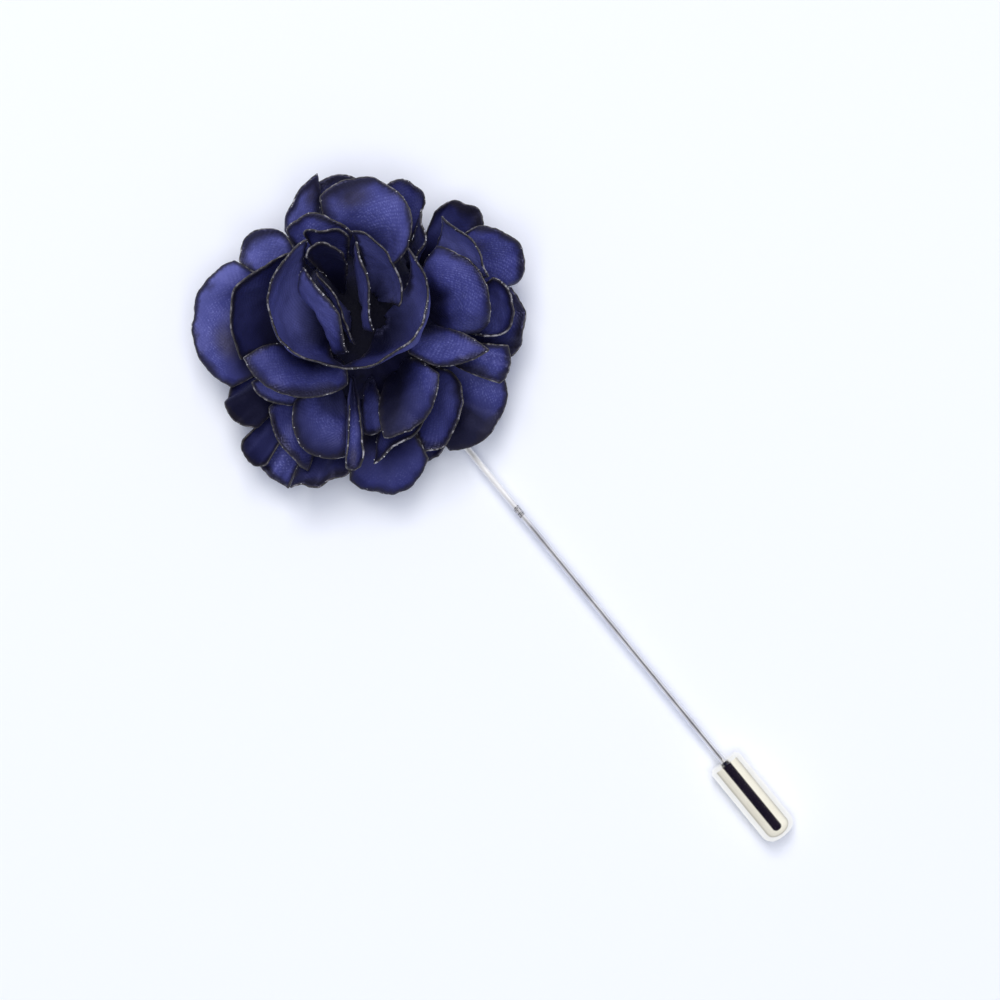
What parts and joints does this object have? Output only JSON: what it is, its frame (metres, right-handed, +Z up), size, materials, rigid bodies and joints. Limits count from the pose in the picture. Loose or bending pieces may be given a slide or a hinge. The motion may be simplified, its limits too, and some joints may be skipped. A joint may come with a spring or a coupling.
{
  "type": "flower lapel pin",
  "caption": "Fabric flower of overlapping cupped satin petals on a straight stick pin, with a slide-off barrel clutch over the needle's point; worn through a lapel's buttonhole.",
  "frame": {"origin": "centre of the felt backing's underside, on the surface the pin lies on", "axes": "+Z up through the flower's face, -Y along the needle from the flower to its point, +X to the right of the needle seen from above with the point down"},
  "size_m": [0.0412, 0.0961, 0.0222],
  "materials": {
    "satin": "dark navy satin with heat-sealed rims",
    "felt": "matt dark felt",
    "needle_steel": "drawn bright steel",
    "clutch_metal": "polished"
  },
  "bodies": {
    "pin": {"backing": "felt", "flower_base": "satin", "stick_pin": "needle_steel", "bud_petal_1": "satin", "bud_petal_2": "satin", "bud_petal_3": "satin", "bud_petal_4": "satin", "bud_petal_5": "satin", "bud_petal_6": "satin", "bud_petal_7": "satin", "bud_petal_8": "satin", "top_petal_1": "satin", "top_petal_2": "satin", "top_petal_3": "satin", "top_petal_4": "satin", "top_petal_5": "satin", "top_petal_6": "satin", "right_petal_1": "satin", "right_petal_2": "satin", "right_petal_3": "satin", "right_petal_4": "satin", "right_petal_5": "satin", "right_petal_6": "satin", "right_petal_7": "satin", "lower_right_petal_1": "satin", "lower_right_petal_2": "satin", "lower_right_petal_3": "satin", "lower_right_petal_4": "satin", "lower_right_petal_5": "satin", "lower_right_petal_6": "satin", "lower_right_petal_7": "satin", "lower_right_petal_8": "satin", "lower_left_petal_1": "satin", "lower_left_petal_2": "satin", "lower_left_petal_3": "satin", "lower_left_petal_4": "satin", "lower_left_petal_5": "satin", "lower_left_petal_6": "satin", "lower_left_petal_7": "satin", "lower_left_petal_8": "satin", "lower_left_petal_9": "satin", "left_petal_1": "satin", "left_petal_2": "satin", "left_petal_3": "satin"},
    "barrel_clutch": {"clutch": "clutch_metal"}
  },
  "joints": [
    {"name": "clutch_pull", "type": "slide", "parent": "pin", "child": "barrel_clutch", "axis": [0, -1, 0], "range_m": [0, 0.025]}
  ]
}
